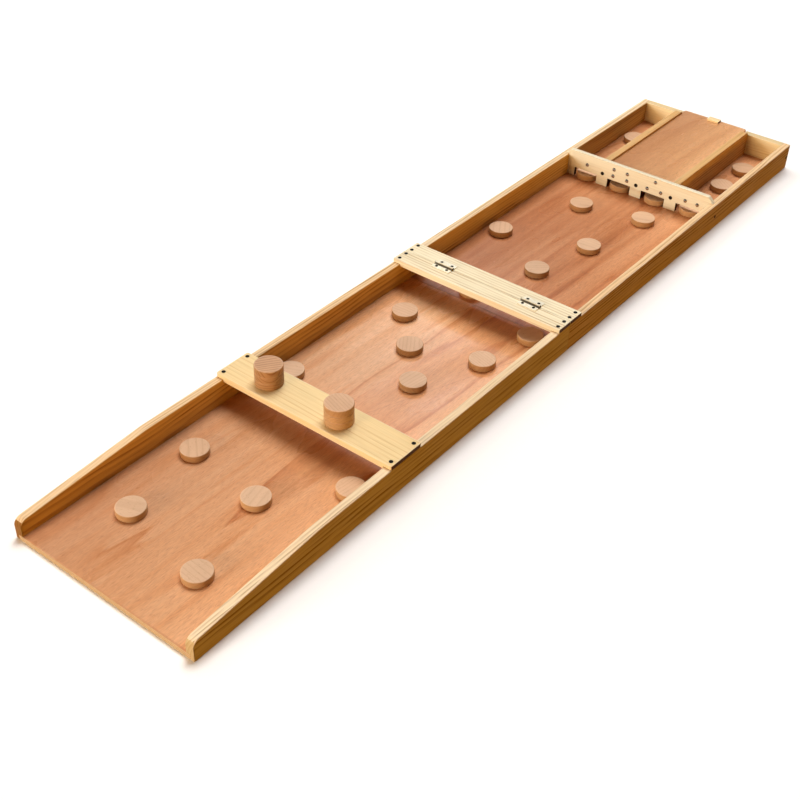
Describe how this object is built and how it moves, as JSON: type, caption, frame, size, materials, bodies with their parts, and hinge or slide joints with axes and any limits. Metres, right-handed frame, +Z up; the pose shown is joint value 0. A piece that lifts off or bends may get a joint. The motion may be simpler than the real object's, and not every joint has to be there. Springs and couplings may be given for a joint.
{
  "type": "dutch shuffleboard",
  "caption": "Folding dutch shuffleboard: railed playing field, bridge bar, hinged strips, gate board with score studs, side trays, sliding lid and round wooden pucks",
  "frame": {"origin": "the seam of the two halves at the middle of the board's width, on the surface it lies on", "axes": "+X across the board to the right as seen from the launch end, +Y along the board from the launch end to the scoring end, +Z up"},
  "size_m": [0.24, 1.196, 0.065],
  "materials": {
    "rail_pine": "satin varnished honey pine with grain lines along the rails",
    "inner_pine": "satin varnished pine",
    "pale_pine": "satin varnished pale cream pine with grain across the board",
    "veneered_ply": "semi-gloss varnished reddish plywood with streaks along the board",
    "puck_beech": "sanded turned beech, lightly waxed",
    "black_steel": "black oxide, satin",
    "stud_steel": "grey domed nail heads",
    "plated_steel": "bright nickel plating"
  },
  "bodies": {
    "rear_half": {"rear_panel": "veneered_ply", "rear_left_rail": "rail_pine", "rear_right_rail": "rail_pine", "rear_wall": "inner_pine", "gate_board": "pale_pine", "gate_screws": "black_steel", "score_studs": "stud_steel", "left_divider": "inner_pine", "middle_divider": "inner_pine", "right_divider": "inner_pine", "rear_hinge_strip": "pale_pine", "rear_strip_screws": "black_steel", "rail_screws": "black_steel", "left_hinge_rear_leaf": "plated_steel", "right_hinge_rear_leaf": "plated_steel", "hinge_pins": "plated_steel", "hinge_rear_screws": "plated_steel"},
    "front_half": {"front_panel": "veneered_ply", "front_left_rail": "rail_pine", "front_right_rail": "rail_pine", "bridge_bar": "pale_pine", "bridge_bar_screws": "black_steel", "front_hinge_strip": "pale_pine", "front_strip_screws": "black_steel", "left_hinge_front_leaf": "plated_steel", "right_hinge_front_leaf": "plated_steel", "hinge_front_screws": "plated_steel"},
    "lid": {"sliding_lid": "veneered_ply", "lid_pull": "pale_pine"},
    "front_puck_1_body": {"front_puck_1": "puck_beech"},
    "front_puck_2_body": {"front_puck_2": "puck_beech"},
    "front_puck_3_body": {"front_puck_3": "puck_beech"},
    "front_puck_4_body": {"front_puck_4": "puck_beech"},
    "front_puck_5_body": {"front_puck_5": "puck_beech"},
    "front_puck_6_body": {"front_puck_6": "puck_beech"},
    "front_puck_7_body": {"front_puck_7": "puck_beech"},
    "front_puck_8_body": {"front_puck_8": "puck_beech"},
    "front_puck_9_body": {"front_puck_9": "puck_beech"},
    "front_puck_10_body": {"front_puck_10": "puck_beech"},
    "front_puck_11_body": {"front_puck_11": "puck_beech"},
    "rear_puck_1_body": {"rear_puck_1": "puck_beech"},
    "rear_puck_2_body": {"rear_puck_2": "puck_beech"},
    "rear_puck_3_body": {"rear_puck_3": "puck_beech"},
    "rear_puck_4_body": {"rear_puck_4": "puck_beech"},
    "rear_puck_5_body": {"rear_puck_5": "puck_beech"},
    "rear_puck_6_body": {"rear_puck_6": "puck_beech"},
    "gate_puck_1_body": {"gate_puck_1": "puck_beech"},
    "gate_puck_2_body": {"gate_puck_2": "puck_beech"},
    "gate_puck_3_body": {"gate_puck_3": "puck_beech"},
    "gate_puck_4_body": {"gate_puck_4": "puck_beech"},
    "tray_puck_1_body": {"tray_puck_1": "puck_beech"},
    "tray_puck_2_body": {"tray_puck_2": "puck_beech"},
    "tray_puck_3_body": {"tray_puck_3": "puck_beech"},
    "left_stack_puck_1_body": {"left_stack_puck_1": "puck_beech"},
    "left_stack_puck_2_body": {"left_stack_puck_2": "puck_beech"},
    "left_stack_puck_3_body": {"left_stack_puck_3": "puck_beech"},
    "right_stack_puck_1_body": {"right_stack_puck_1": "puck_beech"},
    "right_stack_puck_2_body": {"right_stack_puck_2": "puck_beech"},
    "right_stack_puck_3_body": {"right_stack_puck_3": "puck_beech"}
  },
  "joints": [
    {"name": "fold", "type": "hinge", "parent": "rear_half", "child": "front_half", "pos_m": [0, 0, 0.0429], "axis": [-1, 0, 0], "range_deg": [0, 180]},
    {"name": "lid_slide", "type": "slide", "parent": "rear_half", "child": "lid", "axis": [0, 1, 0], "range_m": [0, 0.235]},
    {"name": "front_puck_1_slide", "type": "slide", "parent": "front_half", "child": "front_puck_1_body", "axis": [0, 1, 0], "range_m": [-0.07, 0.07]},
    {"name": "front_puck_2_slide", "type": "slide", "parent": "front_half", "child": "front_puck_2_body", "axis": [0, 1, 0], "range_m": [-0.07, 0.13]},
    {"name": "front_puck_3_slide", "type": "slide", "parent": "front_half", "child": "front_puck_3_body", "axis": [0, 1, 0], "range_m": [-0.05, 0.09]},
    {"name": "front_puck_4_slide", "type": "slide", "parent": "front_half", "child": "front_puck_4_body", "axis": [0, 1, 0], "range_m": [-0.09, 0.15]},
    {"name": "front_puck_5_slide", "type": "slide", "parent": "front_half", "child": "front_puck_5_body", "axis": [0, 1, 0], "range_m": [-0.15, 0.15]},
    {"name": "front_puck_6_slide", "type": "slide", "parent": "front_half", "child": "front_puck_6_body", "axis": [0, 1, 0], "range_m": [-0.13, 0.15]},
    {"name": "front_puck_7_slide", "type": "slide", "parent": "front_half", "child": "front_puck_7_body", "axis": [0, 1, 0], "range_m": [-0.15, 0.05]},
    {"name": "front_puck_8_slide", "type": "slide", "parent": "front_half", "child": "front_puck_8_body", "axis": [0, 1, 0], "range_m": [-0.15, 0.105]},
    {"name": "front_puck_9_slide", "type": "slide", "parent": "front_half", "child": "front_puck_9_body", "axis": [0, 1, 0], "range_m": [-0.15, 0.15]},
    {"name": "front_puck_10_slide", "type": "slide", "parent": "front_half", "child": "front_puck_10_body", "axis": [0, 1, 0], "range_m": [-0.15, 0.045]},
    {"name": "front_puck_11_slide", "type": "slide", "parent": "front_half", "child": "front_puck_11_body", "axis": [0, 1, 0], "range_m": [-0.045, 0]},
    {"name": "rear_puck_1_slide", "type": "slide", "parent": "rear_half", "child": "rear_puck_1_body", "axis": [0, 1, 0], "range_m": [0, 0.15]},
    {"name": "rear_puck_2_slide", "type": "slide", "parent": "rear_half", "child": "rear_puck_2_body", "axis": [0, 1, 0], "range_m": [-0.145, 0.15]},
    {"name": "rear_puck_3_slide", "type": "slide", "parent": "rear_half", "child": "rear_puck_3_body", "axis": [0, 1, 0], "range_m": [-0.15, 0.05]},
    {"name": "rear_puck_4_slide", "type": "slide", "parent": "rear_half", "child": "rear_puck_4_body", "axis": [0, 1, 0], "range_m": [-0.065, 0.08]},
    {"name": "rear_puck_5_slide", "type": "slide", "parent": "rear_half", "child": "rear_puck_5_body", "axis": [0, 1, 0], "range_m": [-0.09, 0.065]},
    {"name": "rear_puck_6_slide", "type": "slide", "parent": "rear_half", "child": "rear_puck_6_body", "axis": [0, 1, 0], "range_m": [-0.08, 0.035]},
    {"name": "gate_puck_1_slide", "type": "slide", "parent": "rear_half", "child": "gate_puck_1_body", "axis": [0, 1, 0], "range_m": [-0.15, 0.105]},
    {"name": "gate_puck_2_slide", "type": "slide", "parent": "rear_half", "child": "gate_puck_2_body", "axis": [0, 1, 0], "range_m": [-0.05, 0.15]},
    {"name": "gate_puck_3_slide", "type": "slide", "parent": "rear_half", "child": "gate_puck_3_body", "axis": [0, 1, 0], "range_m": [-0.035, 0.15]},
    {"name": "gate_puck_4_slide", "type": "slide", "parent": "rear_half", "child": "gate_puck_4_body", "axis": [0, 1, 0], "range_m": [-0.15, 0.055]},
    {"name": "tray_puck_1_slide", "type": "slide", "parent": "rear_half", "child": "tray_puck_1_body", "axis": [0, 1, 0], "range_m": [-0.105, 0.055]},
    {"name": "tray_puck_2_slide", "type": "slide", "parent": "rear_half", "child": "tray_puck_2_body", "axis": [0, 1, 0], "range_m": [-0.03, 0.04]},
    {"name": "tray_puck_3_slide", "type": "slide", "parent": "rear_half", "child": "tray_puck_3_body", "axis": [0, 1, 0], "range_m": [-0.055, 0.03]},
    {"name": "left_stack_puck_1_lift", "type": "slide", "parent": "front_half", "child": "left_stack_puck_1_body", "axis": [0, 0, -1], "range_m": [-0.025, 0]},
    {"name": "left_stack_puck_2_lift", "type": "slide", "parent": "left_stack_puck_1_body", "child": "left_stack_puck_2_body", "axis": [0, 0, -1], "range_m": [-0.025, 0]},
    {"name": "left_stack_puck_3_lift", "type": "slide", "parent": "left_stack_puck_2_body", "child": "left_stack_puck_3_body", "axis": [0, 0, -1], "range_m": [-0.025, 0]},
    {"name": "right_stack_puck_1_lift", "type": "slide", "parent": "front_half", "child": "right_stack_puck_1_body", "axis": [0, 0, -1], "range_m": [-0.025, 0]},
    {"name": "right_stack_puck_2_lift", "type": "slide", "parent": "right_stack_puck_1_body", "child": "right_stack_puck_2_body", "axis": [0, 0, -1], "range_m": [-0.025, 0]},
    {"name": "right_stack_puck_3_lift", "type": "slide", "parent": "right_stack_puck_2_body", "child": "right_stack_puck_3_body", "axis": [0, 0, -1], "range_m": [-0.025, 0]}
  ]
}
